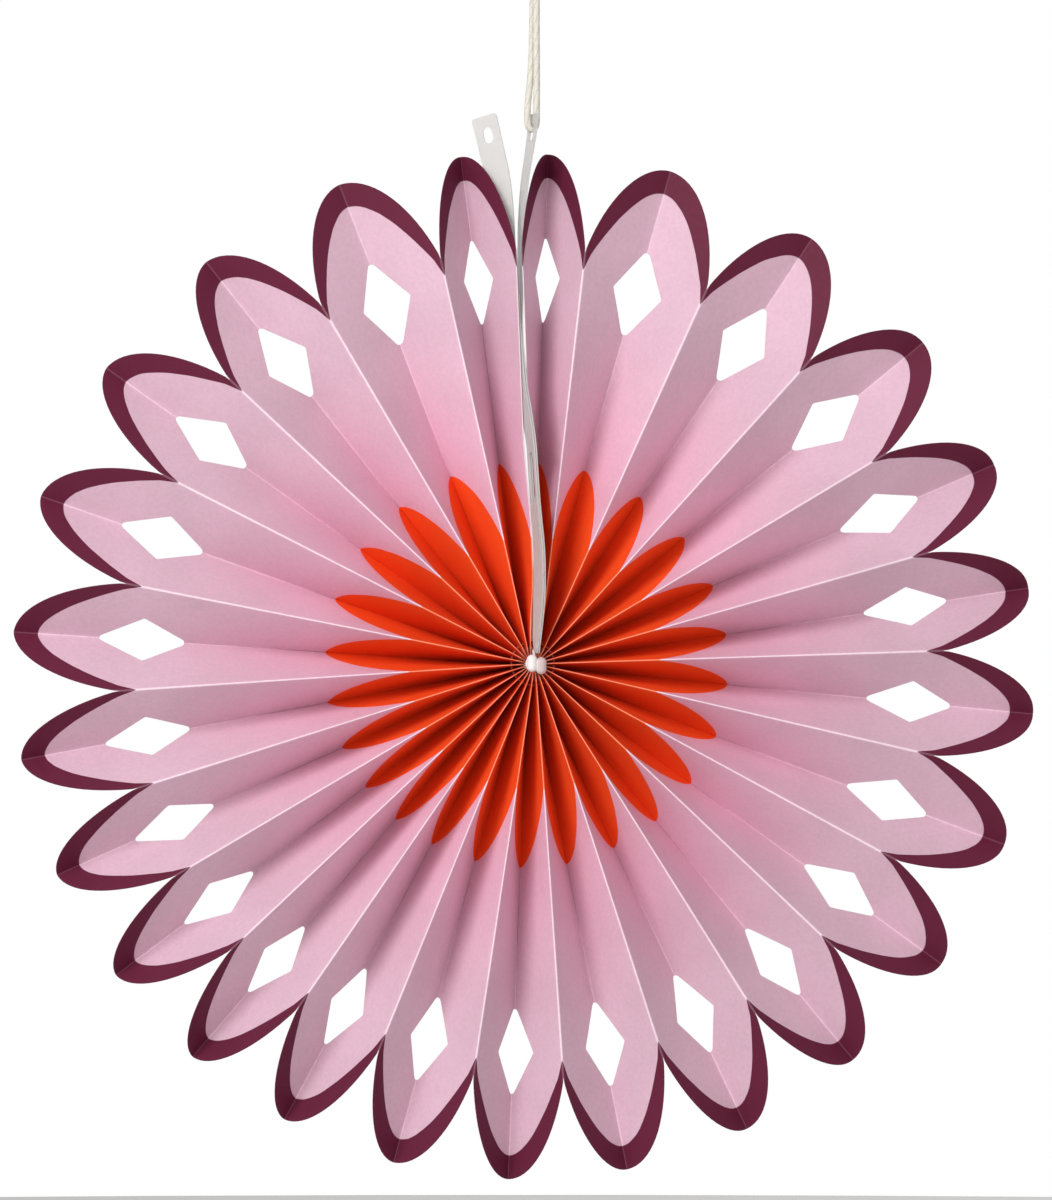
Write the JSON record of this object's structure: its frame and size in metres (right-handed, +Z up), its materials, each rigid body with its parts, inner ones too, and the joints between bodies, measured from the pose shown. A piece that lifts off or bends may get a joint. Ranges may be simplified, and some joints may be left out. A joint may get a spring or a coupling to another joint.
{
  "type": "paper fan rosette",
  "caption": "Hanging paper fan rosette: a pleated sheet opened to a full circle with arched petals and diamond cut-outs, closed by clear strips, tied at the centre, on a cord loop.",
  "frame": {"origin": "top of the knot that closes the hanging cord, where a hook or nail holds the fan", "axes": "+Z up along the hanging cord, the decorated front faces -Y, +X to the viewer's right; the fan's centre hangs 203 mm below the origin"},
  "size_m": [0.2991, 0.0323, 0.3529],
  "materials": {
    "printed_paper": "matte printed paper in orange, pink and burgundy",
    "clear_strip": "translucent",
    "white_thread": "waxed white thread",
    "cotton_cord": "twisted cotton"
  },
  "bodies": {
    "root": {"pleated_sheet": "printed_paper", "left_end_strip": "clear_strip", "right_end_strip": "clear_strip", "centre_tie": "white_thread", "hanging_cord": "cotton_cord", "hanging_knot": "cotton_cord"}
  },
  "joints": []
}
